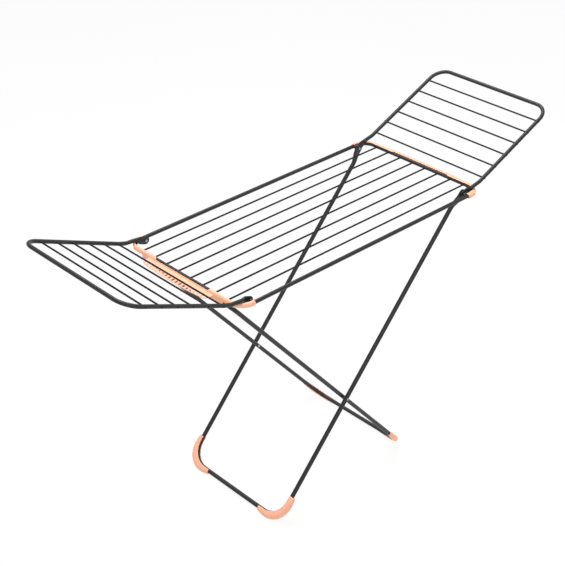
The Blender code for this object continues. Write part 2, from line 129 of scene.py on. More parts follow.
def bent_path(corners, radii, step=math.radians(5)):
    """Straight runs joined by arcs.

    Each arc's centre lies on the bisector of its corner, the bend radius over the sine of the half
    angle away. Its points are the start and end spokes mixed in the ratio sin(sweep - turn) to
    sin(turn), over sin(sweep).
    """
    corners = np.asarray(corners, float)
    parts = [corners[:1]]
    for before, corner, after, radius in zip(corners[:-2], corners[1:-1], corners[2:], radii):
        back, ahead = unit(before - corner), unit(after - corner)
        half = math.acos(float(np.clip(back @ ahead, -1, 1))) / 2
        centre = corner + unit(back + ahead) * radius / math.sin(half)
        start = corner + back * radius / math.tan(half) - centre
        end = corner + ahead * radius / math.tan(half) - centre
        sweep = math.pi - 2 * half
        turn = np.linspace(0, sweep, max(4, math.ceil(sweep / step) + 1))[:, None]
        arc = (np.sin(sweep - turn) * start + np.sin(turn) * end) / math.sin(sweep)
        parts.append(centre + arc)
    parts.append(corners[-1:])
    return np.concatenate(parts)


def add_stations(path, marks):
    """The same path with extra points at the given lengths along it, read by linear interpolation."""
    s = run_length(path)
    at = np.unique(np.round(np.concatenate([s, np.clip(marks, 0, s[-1])]), 6))
    return np.stack([np.interp(at, s, path[:, k]) for k in range(3)], axis=1)


def directions(path, closed):
    """Direction at each point: the bisector of the steps before and after it."""
    if closed:
        step = unit(np.roll(path, -1, axis=0) - path)
        return unit(step + np.roll(step, 1, axis=0))
    step = unit(np.diff(path, axis=0))
    return unit(np.concatenate([step[:1], step]) + np.concatenate([step, step[-1:]]))


def cross_frame(path, up, closed=False):
    """Sideways and upward directions at each point: side = ahead x up, then up = side x ahead."""
    ahead = directions(path, closed)
    side = unit(np.cross(ahead, np.asarray(up, float)))
    return side, np.cross(side, ahead)


def grid_quads(rows, columns, wrap_rows=False, wrap_columns=True):
    """Quads of a grid: each joins point (i, j) to its neighbours one row and one column on."""
    i = np.arange(rows if wrap_rows else rows - 1)[:, None]
    j = np.arange(columns if wrap_columns else columns - 1)[None, :]
    ni, nj = (i + 1) % rows, (j + 1) % columns
    corners = (i * columns + j, i * columns + nj, ni * columns + nj, ni * columns + j)
    return np.stack([np.broadcast_to(c, (i.size, j.size)) for c in corners], -1).reshape(-1, 4)


def tube_surface(path, up, across, along, power=2.0, sides=24, closed=False):
    """Tube whose section at each point is a superellipse.

    The point at angle a is the path, plus side times `across` times |cos a| to the power 2/p with
    cos a's sign, plus up times `along` times |sin a| to the power 2/p with sin a's sign.
    """
    side, rise = cross_frame(path, up, closed)
    count = len(path)
    across, along, power = (np.broadcast_to(v, count)[:, None] for v in (across, along, power))
    turn = np.linspace(0, 2 * math.pi, sides, endpoint=False)[None, :]
    c = np.sign(np.cos(turn)) * np.abs(np.cos(turn)) ** (2 / power) * across
    s = np.sign(np.sin(turn)) * np.abs(np.sin(turn)) ** (2 / power) * along
    points = path[:, None, :] + side[:, None, :] * c[..., None] + rise[:, None, :] * s[..., None]
    faces = [grid_quads(count, sides, wrap_rows=closed)]
    if not closed:
        ring = np.arange(sides)[None, :]
        faces += [ring, ring + (count - 1) * sides]
        faces[2] = faces[2][:, ::-1]
    return points.reshape(-1, 3), faces


def clip_surface(path, up, inner, wall, lip, below, above, outward, fade, steps=26):
    """C-shaped wall carried along a path.

    At angle a from the outward direction the inner skin is `inner` from the path. The outer skin
    adds lip + (wall - lip) times cos a squared. Both free edges close with a half circle of the
    lip's thickness. `below` and `above` are the angles at which the clip stops, and `fade` shares
    out the thickness along the path.
    """
    side, rise = cross_frame(path, up)
    side = side * outward
    count = len(path)
    wall, lip, below, above = (np.broadcast_to(v, count)[:, None] for v in (wall, lip, below, above))
    wall, lip = wall * fade[:, None], lip * fade[:, None]
    share = np.linspace(0, 1, steps)[None, :]
    turn = -below + (above + below) * share

    def ray(angle):
        return side[:, None, :] * np.cos(angle)[..., None] + rise[:, None, :] * np.sin(angle)[..., None]

    def bead(angle, sign, order):
        """Half circle round the end of the wall at the given angle."""
        out = ray(angle)
        on = -side[:, None, :] * np.sin(angle)[..., None] + rise[:, None, :] * np.cos(angle)[..., None]
        roll = np.linspace(0, math.pi, 7)[1:-1][::order][None, :, None]
        middle_r = (inner + lip / 2)[..., None]
        return out * middle_r + (out * np.cos(roll) + on * sign * np.sin(roll)) * lip[..., None] / 2

    thick = lip + (wall - lip) * np.maximum(0, np.cos(turn)) ** 2
    outer_skin = ray(turn) * (inner + thick)[..., None]
    inner_skin = ray(turn)[:, ::-1] * inner
    loop = [outer_skin, bead(above, 1, 1), inner_skin, bead(-below, -1, -1)]
    section = np.concatenate(loop, axis=1)
    sides = section.shape[1]
    points = (path[:, None, :] + section).reshape(-1, 3)
    ring = np.arange(sides)[None, :]
    return points, [grid_quads(count, sides), ring, (ring + (count - 1) * sides)[:, ::-1]]


def turned_points(profile, centre, side, sides):
    """A profile of (radius, reach) turned on the Y axis: (radius cos a, reach, radius sin a)."""
    turn = np.linspace(0, 2 * math.pi, sides, endpoint=False)[None, :]
    radius, reach = profile[:, :1], profile[:, 1:] * np.ones_like(turn) * side
    points = np.stack([radius * np.cos(turn), reach, radius * np.sin(turn)], -1) + centre
    return points.reshape(-1, 3)


def turned_surface(profile, centre, side, sides=32):
    """Turned shape with both ends closed."""
    ring = np.arange(sides)[None, :]
    last = ring + (len(profile) - 1) * sides
    faces = [grid_quads(len(profile), sides), ring, last[:, ::-1]]
    return turned_points(profile, centre, side, sides), faces


def plate_surface(flat, quads, half):
    """Closed plate over a flat net of quads: z = plus and minus half the local thickness.

    Edges that only one quad uses are the rims, and each gets a wall from top to bottom.
    """
    count = len(flat)
    top = np.concatenate([flat, half[:, None]], axis=1)
    bottom = np.concatenate([flat, -half[:, None]], axis=1)
    edges = np.stack([quads, np.roll(quads, -1, axis=1)], -1).reshape(-1, 2)
    key = np.sort(edges, axis=1)
    _, index, uses = np.unique(key, axis=0, return_inverse=True, return_counts=True)
    rim = edges[uses[index.ravel()] == 1]
    walls = np.stack([rim[:, 1], rim[:, 0], rim[:, 0] + count, rim[:, 1] + count], -1)
    return np.concatenate([top, bottom]), [quads, quads[:, ::-1] + count, walls]


def enclosed(points, faces):
    """Signed volume: each face is fanned from its first point, and the fan's tetrahedra are summed."""
    total = 0.0
    for block in faces:
        first = points[block[:, 0]]
        for k in range(1, block.shape[1] - 1):
            b, c = points[block[:, k]], points[block[:, k + 1]]
            total += float(np.einsum("ij,ij->", first, np.cross(b, c))) / 6
    return total


# ---- pieces ----
def make_piece(name, shapes, body, material, stands_for=(), crisp=40, bevel=0.0):
    """One mesh object from closed shapes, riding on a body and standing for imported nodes."""
    points, loops, sizes, base = [], [], [], 0
    for shape_points, faces in shapes:
        volume = enclosed(shape_points, faces)
        if not math.isfinite(volume) or abs(volume) < 1e-12:
            raise RuntimeError("%s has a shape that encloses nothing" % name)
        for block in faces:
            block = block if volume > 0 else block[:, ::-1]
            loops.append((block + base).ravel())
            sizes.append(np.full(len(block), block.shape[1]))
        points.append(shape_points)
        base += len(shape_points)
    points, loops, sizes = np.concatenate(points), np.concatenate(loops), np.concatenate(sizes)
    mesh = bpy.data.meshes.new(name)
    mesh.vertices.add(len(points))
    mesh.vertices.foreach_set("co", points.astype(np.float32).ravel())
    mesh.loops.add(len(loops))
    mesh.loops.foreach_set("vertex_index", loops.astype(np.int32))
    mesh.polygons.add(len(sizes))
    starts = np.concatenate([[0], np.cumsum(sizes)[:-1]])
    mesh.polygons.foreach_set("loop_start", starts.astype(np.int32))
    mesh.update(calc_edges=True)
    mesh.validate()
    mesh.polygons.foreach_set("use_smooth", np.ones(len(sizes), bool))
    mesh.set_sharp_from_angle(angle=math.radians(crisp))
    mesh.materials.append(material)
    piece = bpy.data.objects.new(name, mesh)
    bpy.context.scene.collection.objects.link(piece)
    if bevel:
        edge = piece.modifiers.new("soft edges", "BEVEL")
        edge.width = bevel
        edge.segments = 2
        edge.limit_method = "ANGLE"
        edge.angle_limit = math.radians(50)
    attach(piece, body)
    if stands_for:
        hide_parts(*stands_for)
    return piece


def numbered(stem, count):
    """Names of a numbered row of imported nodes."""
    return ["%s_%d" % (stem, i + 1) for i in range(count)]


# ---- finishes ----
def new_group(name, inputs, outputs):
    """Empty shader node group with named sockets; returns it with its input and output nodes."""
    group = bpy.data.node_groups.new(name, "ShaderNodeTree")
    for label, kind, default in inputs:
        socket = group.interface.new_socket(label, in_out="INPUT", socket_type=kind)
        if default is not None:
            socket.default_value = default
    for label, kind in outputs:
        group.interface.new_socket(label, in_out="OUTPUT", socket_type=kind)
    source = group.nodes.new("NodeGroupInput")
    sink = group.nodes.new("NodeGroupOutput")
    return group, source, sink


def add_noise(tree, vector, scale, detail, roughness=0.5, stretch=None):
    """Noise texture on a vector, stretched along the axes when asked."""
    noise = tree.nodes.new("ShaderNodeTexNoise")
    noise.inputs["Detail"].default_value = detail
    noise.inputs["Roughness"].default_value = roughness
    if stretch:
        mapping = tree.nodes.new("ShaderNodeMapping")
        mapping.inputs["Scale"].default_value = stretch
        tree.links.new(vector, mapping.inputs["Vector"])
        vector = mapping.outputs["Vector"]
    tree.links.new(vector, noise.inputs["Vector"])
    if isinstance(scale, (int, float)):
        noise.inputs["Scale"].default_value = scale
    else:
        tree.links.new(scale, noise.inputs["Scale"])
    return noise.outputs["Fac"]


def add_math(tree, operation, a, b):
    """Math node; each operand is a number or a socket."""
    node = tree.nodes.new("ShaderNodeMath")
    node.operation = operation
    for value, socket in zip((a, b), node.inputs):
        if isinstance(value, (int, float)):
            socket.default_value = value
        else:
            tree.links.new(value, socket)
    return node.outputs[0]


def add_range(tree, value, old, new):
    """Map Range node from an old pair of ends to a new pair, clamped."""
    node = tree.nodes.new("ShaderNodeMapRange")
    tree.links.new(value, node.inputs["Value"])
    for label, number in zip(("From Min", "From Max"), old):
        node.inputs[label].default_value = number
    for label, number in zip(("To Min", "To Max"), new):
        node.inputs[label].default_value = number
    return node.outputs["Result"]


def add_mix(tree, amount, first, second):
    """Mix of two colours; the amount and each colour are a fixed value or a socket."""
    node = tree.nodes.new("ShaderNodeMixRGB")
    for label, value in (("Fac", amount), ("Color1", first), ("Color2", second)):
        if isinstance(value, (int, float, tuple)):
            node.inputs[label].default_value = value
        else:
            tree.links.new(value, node.inputs[label])
    return node.outputs["Color"]


def baked_coat_group():
    """Oven-baked powder coat: a fine orange-peel height, and slow drift of tone and gloss."""
    name = "Baked Coat"
    if name in bpy.data.node_groups:
        return bpy.data.node_groups[name]
    inputs = [
        ("Vector", "NodeSocketVector", None),
        ("Colour", "NodeSocketColor", (0.04, 0.04, 0.04, 1)),
        ("Tone Drift", "NodeSocketFloat", 0.12),
        ("Gloss", "NodeSocketFloat", 0.40),
        ("Gloss Drift", "NodeSocketFloat", 0.08),
        ("Peel Scale", "NodeSocketFloat", 900.0),
    ]
    outputs = [("Colour", "NodeSocketColor"), ("Roughness", "NodeSocketFloat"), ("Height", "NodeSocketFloat")]
    tree, source, sink = new_group(name, inputs, outputs)
    vector = source.outputs["Vector"]
    slow = add_noise(tree, vector, 7.0, 3.0)
    fine = add_noise(tree, vector, 160.0, 2.0)
    tone = add_math(tree, "ADD", add_math(tree, "MULTIPLY", slow, 0.7), add_math(tree, "MULTIPLY", fine, 0.3))
    swing = add_math(tree, "MULTIPLY", add_math(tree, "SUBTRACT", tone, 0.5), source.outputs["Tone Drift"])
    value = add_math(tree, "ADD", add_math(tree, "MULTIPLY", swing, 4.0), 1.0)
    hue = tree.nodes.new("ShaderNodeHueSaturation")
    tree.links.new(value, hue.inputs["Value"])
    tree.links.new(source.outputs["Colour"], hue.inputs["Color"])
    tree.links.new(hue.outputs["Color"], sink.inputs["Colour"])
    spread = add_math(tree, "MULTIPLY", add_math(tree, "SUBTRACT", tone, 0.5), source.outputs["Gloss Drift"])
    rough = add_math(tree, "ADD", add_math(tree, "MULTIPLY", spread, 4.0), source.outputs["Gloss"])
    tree.links.new(rough, sink.inputs["Roughness"])
    peel = add_noise(tree, vector, source.outputs["Peel Scale"], 2.0, 0.4)
    tree.links.new(peel, sink.inputs["Height"])
    return tree


def moulded_skin_group():
    """Injection-moulded skin: flow-like mottling of the colour, a spark-eroded grain and worn gloss."""
    name = "Moulded Skin"
    if name in bpy.data.node_groups:
        return bpy.data.node_groups[name]
    inputs = [
        ("Vector", "NodeSocketVector", None),
        ("Colour", "NodeSocketColor", (0.95, 0.5, 0.32, 1)),
        ("Flow Colour", "NodeSocketColor", (0.97, 0.46, 0.36, 1)),
        ("Flow", "NodeSocketFloat", 0.5),
        ("Gloss", "NodeSocketFloat", 0.42),
        ("Grain Scale", "NodeSocketFloat", 1400.0),
    ]
    outputs = [("Colour", "NodeSocketColor"), ("Roughness", "NodeSocketFloat"), ("Height", "NodeSocketFloat")]
    tree, source, sink = new_group(name, inputs, outputs)
    vector = source.outputs["Vector"]
    warp = tree.nodes.new("ShaderNodeTexNoise")
    warp.inputs["Scale"].default_value = 9.0
    tree.links.new(vector, warp.inputs["Vector"])
    bent = add_mix(tree, 0.06, vector, warp.outputs["Color"])
    streak = add_noise(tree, bent, 16.0, 4.0, 0.55, (1.0, 0.35, 1.0))
    band = add_range(tree, streak, (0.38, 0.66), (0.0, 1.0))
    amount = add_math(tree, "MULTIPLY", band, source.outputs["Flow"])
    mix = add_mix(tree, amount, source.outputs["Colour"], source.outputs["Flow Colour"])
    tree.links.new(mix, sink.inputs["Colour"])
    scuff = add_noise(tree, vector, 60.0, 5.0, 0.6)
    lift = add_range(tree, scuff, (0.35, 0.7), (-0.05, 0.09))
    tree.links.new(add_math(tree, "ADD", lift, source.outputs["Gloss"]), sink.inputs["Roughness"])
    grain = add_noise(tree, vector, source.outputs["Grain Scale"], 3.0, 0.6)
    pit = add_noise(tree, vector, 420.0, 2.0, 0.5)
    coarse, small = add_math(tree, "MULTIPLY", grain, 0.7), add_math(tree, "MULTIPLY", pit, 0.3)
    height = add_math(tree, "ADD", coarse, small)
    tree.links.new(height, sink.inputs["Height"])
    return tree


def handling_group():
    """Handling marks: thin rubbed lines along the piece, as a mask from stretched noise."""
    name = "Handling Marks"
    if name in bpy.data.node_groups:
        return bpy.data.node_groups[name]
    inputs = [
        ("Vector", "NodeSocketVector", None),
        ("Scale", "NodeSocketFloat", 30.0),
        ("Amount", "NodeSocketFloat", 0.5),
    ]
    tree, source, sink = new_group(name, inputs, [("Mask", "NodeSocketFloat")])
    vector = source.outputs["Vector"]
    marks = add_noise(tree, vector, source.outputs["Scale"], 6.0, 0.75, (1.0, 6.0, 1.0))
    patches = add_noise(tree, vector, 5.0, 2.0)
    line = add_range(tree, marks, (0.60, 0.70), (0.0, 1.0))
    area = add_range(tree, patches, (0.48, 0.62), (0.0, 1.0))
    mask = add_math(tree, "MULTIPLY", add_math(tree, "MULTIPLY", line, area), source.outputs["Amount"])
    tree.links.new(mask, sink.inputs["Mask"])
    return tree


def place_group(tree, group, vector, values):
    """Group node fed with object coordinates and its own values."""
    node = tree.nodes.new("ShaderNodeGroup")
    node.node_tree = group
    tree.links.new(vector, node.inputs["Vector"])
    for label, value in values.items():
        node.inputs[label].default_value = value
    return node


def start_material(name):
    """Material with a Principled shader and an object-coordinate vector."""
    material = bpy.data.materials.new(name)
    material.use_nodes = True
    tree = material.node_tree
    shader = tree.nodes["Principled BSDF"]
    vector = tree.nodes.new("ShaderNodeTexCoord").outputs["Object"]
    return material, tree, shader, vector


COAT_RELIEF = 0.00003      # metres of relief in the baked coat and the plating
MOULD_RELIEF = 0.000025
BUMP_STRENGTH = 0.4


def add_bump(tree, shader, height, depth):
    """Bump node from a height, in metres of relief, onto the shader's normal."""
    bump = tree.nodes.new("ShaderNodeBump")
    bump.inputs["Strength"].default_value = BUMP_STRENGTH
    bump.inputs["Distance"].default_value = depth
    tree.links.new(height, bump.inputs["Height"])
    tree.links.new(bump.outputs["Normal"], shader.inputs["Normal"])


def worn_material(name, skin, marks, rub_colour, smoothing, shine, metallic):
    """Coat or plating with rubbed marks, which show their own tone and are smoother by a share."""
    if name in bpy.data.materials:
        return bpy.data.materials[name]
    material, tree, shader, vector = start_material(name)
    coat = place_group(tree, baked_coat_group(), vector, skin)
    mask = place_group(tree, handling_group(), vector, marks).outputs["Mask"]
    mix = add_mix(tree, mask, coat.outputs["Colour"], (*rub_colour, 1))
    tree.links.new(mix, shader.inputs["Base Color"])
    rough = coat.outputs["Roughness"]
    if smoothing:
        rough = add_math(tree, "ADD", rough, add_math(tree, "MULTIPLY", mask, -smoothing))
    tree.links.new(rough, shader.inputs["Roughness"])
    shader.inputs["Specular IOR Level"].default_value = shine
    shader.inputs["Metallic"].default_value = metallic
    add_bump(tree, shader, coat.outputs["Height"], COAT_RELIEF)
    return material


def coated_material(name, colour, gloss, shine, rub_colour, rub):
    """Powder-coated steel with a faint rubbed tone on the most handled stretches."""
    skin = {"Colour": (*colour, 1), "Gloss": gloss}
    return worn_material(name, skin, {"Scale": 26.0, "Amount": rub}, rub_colour, 0.12, shine, 0.0)


def rivet_material(colour):
    """Zinc-plated rivet with a fine grain, drifting tone and small handling marks."""
    skin = {
        "Colour": (*colour, 1), "Tone Drift": 0.08, "Gloss": 0.30, "Gloss Drift": 0.10,
        "Peel Scale": 2200.0,
    }
    marks = {"Scale": 500.0, "Amount": 0.5}
    return worn_material("plated_rivet", skin, marks, (0.30, 0.30, 0.31), 0.0, 0.5, 1.0)


def moulded_material(name, colour, flow_colour, gloss, flow):
    """Satin moulded plastic whose two pigment tones drift into each other."""
    if name in bpy.data.materials:
        return bpy.data.materials[name]
    material, tree, shader, vector = start_material(name)
    values = {"Colour": (*colour, 1), "Flow Colour": (*flow_colour, 1), "Flow": flow, "Gloss": gloss}
    skin = place_group(tree, moulded_skin_group(), vector, values)
    tree.links.new(skin.outputs["Colour"], shader.inputs["Base Color"])
    tree.links.new(skin.outputs["Roughness"], shader.inputs["Roughness"])
    add_bump(tree, shader, skin.outputs["Height"], MOULD_RELIEF)
    return material


FLOOR_GLOW = 11.4  # the floor is lit from within as well, so that shadows on it stay faint


def floor_material(colour):
    """Matt pale floor with the faintest unevenness of tone, lit softly from within."""
    material, tree, shader, vector = start_material("pale_floor")
    slow = add_noise(tree, vector, 0.7, 2.0)
    mix = add_mix(tree, slow, (*colour, 1), (*[c * 0.985 for c in colour], 1))
    tree.links.new(mix, shader.inputs["Base Color"])
    tree.links.new(mix, shader.inputs["Emission Color"])
    shader.inputs["Emission Strength"].default_value = FLOOR_GLOW
    shader.inputs["Roughness"].default_value = 0.9
    shader.inputs["Specular IOR Level"].default_value = 0.1
    return material


def finish_for(which):
    """The material for a named finish, built from the panel's colours."""
    look = bpy.context.scene.rack_finish
    if which == "tube":
        rubbed = (0.040, 0.040, 0.041)
        return coated_material("graphite_coat", tuple(look.tube_colour), look.tube_gloss, 0.40, rubbed, 0.5)
    if which == "wire":
        rubbed = (0.016, 0.016, 0.016)
        return coated_material("black_wire_coat", tuple(look.wire_colour), look.tube_gloss, 0.22, rubbed, 0.4)
    if which == "moulding":
        return moulded_material(
            "peach_moulding", tuple(look.moulding_colour), tuple(look.flow_colour), look.moulding_gloss, 0.5
        )
    if which == "spacer":
        return moulded_material("black_spacer", (0.012, 0.012, 0.016), (0.02, 0.02, 0.024), 0.38, 0.4)
    if which == "rivet":
        return rivet_material(tuple(look.rivet_colour))
    raise RuntimeError("no finish is named %s" % which)


# ---- settings ----
def length(name, description, default):
    """Length property in metres."""
    return bpy.props.FloatProperty(
        name=name, description=description, default=default, min=0.0, unit="LENGTH", precision=5
    )


def colour(name, description, default):
    """Linear colour property."""
    return bpy.props.FloatVectorProperty(
        name=name, description=description, default=default, size=3, min=0.0, max=1.0, subtype="COLOR"
    )


def share(name, description, default):
    """Property from nought to one."""
    return bpy.props.FloatProperty(
        name=name, description=description, default=default, min=0.0, max=1.0, subtype="FACTOR"
    )


class RackSizes(bpy.types.PropertyGroup):
    """Sizes of the visible pieces."""

    tube: length("Tube radius", "Outside radius of the deck and wing tubes", TUBE + COAT)
    wire: length("Wire radius", "Radius of a coated drying wire", WIRE + COAT)
    outer_tube: length("Outer leg radius", "Outside radius of the outer leg tube", OUTER_TUBE + COAT)
    inner_tube: length("Inner leg radius", "Outside radius of the inner leg tube", INNER_TUBE + COAT)
    deck_corner: length("Deck corner", "Bend radius of the deck corners", 0.045)
    wing_corner: length("Wing corner", "Bend radius of the wing corners", 0.055)
    leg_corner: length("Leg corner", "Bend radius at the feet", 0.074)
    top_corner: length("Top corner", "Bend radius at the top of the inner frame", 0.040)
    cover_wall: length("Cover wall", "Thickness of the clip-on end covers", 0.0019)
    ledge_reach: length("Ledge reach", "Outer edge of the hanger ledge from the end tube", 0.050)
    slot_pitch: length("Slot pitch", "Distance between hanger slots", 0.0174)
    boot_wall: length("Boot lip", "Thickness of a boot at its free edges", 0.0022)
    boot_heel: length("Boot heel", "Extra thickness of a boot at its bend", 0.0150)
    rivet_head: length("Rivet head", "Radius of a rivet head", 0.0046)


class RackFinish(bpy.types.PropertyGroup):
    """Colours and gloss of the visible pieces."""

    tube_colour: colour("Tube coat", "Powder coat on the tubes", (0.016, 0.016, 0.0163))
    wire_colour: colour("Wire coat", "Coat on the drying wires", (0.006, 0.006, 0.006))
    tube_gloss: share("Coat roughness", "Roughness of both coats", 0.42)
    moulding_colour: colour("Moulding", "Plastic of the covers and boots", (0.93, 0.47, 0.29))
    flow_colour: colour("Moulding flow", "Second tone that drifts through the plastic", (0.94, 0.44, 0.31))
    moulding_gloss: share("Moulding roughness", "Roughness of the plastic", 0.36)
    rivet_colour: colour("Rivet plate", "Zinc plate of the rivets", (0.40, 0.40, 0.41))
    floor_colour: colour("Floor", "Pale studio floor", (0.08, 0.08, 0.08))


# ---- deck ----
def end_path(end_x, stop_x, corner):
    """Centre line of one deck end, from side tube round to side tube."""
    y = DECK_SIDE
    corners = [(stop_x, -y, DECK_Z), (end_x, -y, DECK_Z), (end_x, y, DECK_Z), (stop_x, y, DECK_Z)]
    return bent_path(corners, (corner, corner))


class RACK_OT_deck_tube(bpy.types.Operator):
    """Bend the deck tube: one closed loop with four rounded corners"""

    bl_idname = "rack.deck_tube"
    bl_label = "Deck tube"

    def execute(self, context):
        size = context.scene.rack_sizes
        y = DECK_SIDE
        corners = [(0, -y), (RIGHT_END, -y), (RIGHT_END, y), (LEFT_END, y), (LEFT_END, -y), (0, -y)]
        path = bent_path([(x, yy, DECK_Z) for x, yy in corners], (size.deck_corner,) * 4)[:-1]
        shape = tube_surface(path, (0, 0, 1), size.tube, size.tube, sides=28, closed=True)
        nodes = ("deck_end_left", "deck_end_right", "deck_side_near", "deck_side_far")
        make_piece("deck_tube", [shape], "deck", finish_for("tube"), nodes)
        return {"FINISHED"}


def wire_shape(start, end, radius, up, weld, tube):
    """Round bar whose radius flares by `weld` where it meets the tubes.

    Radius = wire + weld times e to the power of minus the distance past the tube's skin over 1.3 mm.
    """
    path = np.array([start, end], float)
    whole = run_length(path)[-1]
    near = np.concatenate([[0.0002, 0.0005, 0.001, 0.002], tube + np.linspace(0, 0.006, 8)])
    path = add_stations(path, np.concatenate([near, whole - near, [whole / 2]]))
    s = run_length(path)
    past = np.minimum(s, s[-1] - s)
    flare = weld * np.exp(-np.maximum(past - tube, 0) / 0.0013)
    tip = np.sqrt(np.clip(1 - (1 - np.clip(past / radius, 0.02, 1)) ** 2, 0, 1))
    body = (radius + flare) * tip
    return tube_surface(path, up, body, body, sides=14)


class RACK_OT_deck_wires(bpy.types.Operator):
    """Run the lengthwise drying wires from end tube to end tube, welded at both ends"""

    bl_idname = "rack.deck_wires"
    bl_label = "Deck wires"

    def execute(self, context):
        size = context.scene.rack_sizes
        names = numbered("deck_wire", 8)
        shapes = []
        for name in names:
            y = middle(name)[1]
            start, end = (LEFT_END, y, DECK_Z), (RIGHT_END, y, DECK_Z)
            shapes.append(wire_shape(start, end, size.wire, (0, 0, 1), 0.0011, size.tube))
        make_piece("deck_wires", shapes, "deck", finish_for("wire"), names)
        return {"FINISHED"}


# ---- end covers ----
def ledge_edge(y, reach):
    """X of the ledge's outer edge: falls back with the cube of y, and rounds off at both ends."""
    across = np.abs(y)
    past = np.clip(across - LEDGE_HALF + EDGE_ROUND, 0, EDGE_ROUND)
    corner = EDGE_ROUND - np.sqrt(EDGE_ROUND**2 - past**2)
    return LEFT_END - reach + 0.0085 * (across / 0.146) ** 3 + corner


LEDGE_HALF = 0.155
SLOT_COUNT = 17
SLOT_HALF = np.array([0.0069, 0.0044])  # half length outwards, half width along the end
SLOT_OUT = 0.0402    # middle of the slots, outwards from the end tube
SIDE_CELLS = 6       # steps along each side of the square round a slot
EDGE_ROUND = 0.014   # rounding of the ledge's outer corners


def ledge_net(size):
    """Flat net of the hanger ledge: a frame of quads round each slot, a root strip and two ends.

    Round a slot, points run from the slot's superellipse to the cell's square edge in equal shares.
    """
    root = LEFT_END - TUBE - CLEARANCE - 0.0006
    start = LEFT_END - 0.0135
    pitch = size.slot_pitch
    # one square outline, corner by corner, with the same number of steps on each side
    walk = np.arange(4 * SIDE_CELLS) / SIDE_CELLS
    p = np.interp(walk, [0, 1, 2, 3, 4], [-1, 1, 1, -1, -1])
    q = np.interp(walk, [0, 1, 2, 3, 4], [-1, -1, 1, 1, -1])
    round_off = (np.abs(p) ** 3.6 + np.abs(q) ** 3.6) ** (1 / 3.6)
    rings = np.array([0.0, 0.12, 0.5, 1.0])[:, None]
    cell_quads = grid_quads(len(rings), len(walk))
    flat, quads, base = [], [], 0

    def add(points, faces):
        nonlocal base
        flat.append(points)
        quads.append(faces + base)
        base += len(points)

    for i in range(SLOT_COUNT):
        yc = (i - (SLOT_COUNT - 1) / 2) * pitch
        xc = LEFT_END - SLOT_OUT + 0.0045 * (abs(yc) / 0.14) ** 3
        hole = np.stack([xc - q / round_off * SLOT_HALF[0], yc + p / round_off * SLOT_HALF[1]], -1)
        y = yc + p * pitch / 2
        x = start + (ledge_edge(y, size.ledge_reach) - start) * (q + 1) / 2
        outline = np.stack([x, y], -1)
        points = hole[None] * (1 - rings[..., None]) + outline[None] * rings[..., None]
        add(points.reshape(-1, 2), cell_quads)
    span = SLOT_COUNT * pitch / 2
    tail = span + (LEDGE_HALF - span) * np.sin(np.linspace(0, math.pi / 2, 9))
    rows = np.linspace(0, 1, SIDE_CELLS + 1)[:, None]
    for side in (-1, 1):
        y = (side * tail)[None, :] * np.ones_like(rows)
        x = start + (ledge_edge(y, size.ledge_reach) - start) * rows
        faces = grid_quads(len(rows), len(tail), wrap_columns=False)
        add(np.stack([x, y], -1).reshape(-1, 2), faces if side < 0 else faces[:, ::-1])
    columns = np.linspace(-span, span, SLOT_COUNT * SIDE_CELLS + 1)
    y = np.concatenate([-tail[:0:-1], columns, tail[1:]])[None, :]
    x = (root + (start - root) * np.linspace(0, 1, 9))[:, None] * np.ones_like(y)
    y = y * np.ones_like(x)
    add(np.stack([x, y], -1).reshape(-1, 2), grid_quads(9, y.shape[1], wrap_columns=False)[:, ::-1])
    flat, quads = np.concatenate(flat), np.concatenate(quads)
    _, first, index = np.unique(np.round(flat, 6), axis=0, return_index=True, return_inverse=True)
    flat, quads = flat[first], index.ravel()[quads]
    # every quad is turned the same way up: its diagonals' cross product points up
    a, b = flat[quads[:, 2]] - flat[quads[:, 0]], flat[quads[:, 3]] - flat[quads[:, 1]]
    turned_over = a[:, 0] * b[:, 1] - a[:, 1] * b[:, 0] < 0
    quads[turned_over] = quads[turned_over][:, ::-1]
    return flat, quads


NOTCH_HALF = 0.134   # half length of the cover's cut-back middle
LEFT_STOP = -0.475   # where the left cover's arms end on the side tubes
RIGHT_STOP = 0.486
LEDGE_THICK = 0.0012  # half thickness of the hanger ledge
ROOT_FILLET = 0.0028
HOOK_HALF = 0.195    # half length of the hook's lip


def notch_angles(path, narrow, full):
    """Angle at which the cover stops on top: full at the corners, narrow over the middle notch."""
    inside = ease((NOTCH_HALF - np.abs(path[:, 1])) / 0.010)
    return full + (narrow - full) * inside


def saddle(path):
    """Thickness share that thins the cover where a wing arm passes over it, down to two fifths."""
    return 1 - 0.6 * ease((0.0150 - np.abs(np.abs(path[:, 1]) - WING_SIDE)) / 0.0070)


END_STEPS = np.array([0.04, 0.15, 0.35, 0.65, 1.0])        # shares of a moulding's rounded end
TIP_STEPS = np.array([0.01, 0.05, 0.15, 0.35, 0.6, 1.0])   # shares of a pressed tube's round tip


def end_fade(path, reach):
    """Thickness share that rounds the ends: the square root of 1 - (1 - s/reach) squared."""
    s = run_length(path)
    near = np.clip(np.minimum(s, s[-1] - s) / reach, 0.02, 1)
    return np.sqrt(1 - (1 - near) ** 2)


def cover_shape(size, end_x, inward, stop_x, wall, below, narrow, full):
    """The clip of one end cover, with its angles in degrees from the outward side."""
    path = end_path(end_x, stop_x, size.deck_corner)
    s = run_length(path)
    steps = size.cover_wall * END_STEPS
    half = s[-1] / 2
    notch = half - NOTCH_HALF + np.linspace(-0.002, 0.012, 10)
    marks = [steps, s[-1] - steps, notch, s[-1] - notch, np.linspace(0.05, s[-1] - 0.05, 30)]
    path = add_stations(path, np.concatenate(marks))
    above = notch_angles(path, math.radians(narrow), math.radians(full))
    fade = end_fade(path, size.cover_wall) * saddle(path)
    inner = size.tube + CLEARANCE
    return clip_surface(
        path, (0, 0, 1), inner, wall, size.cover_wall, math.radians(below), above, -inward, fade
    )


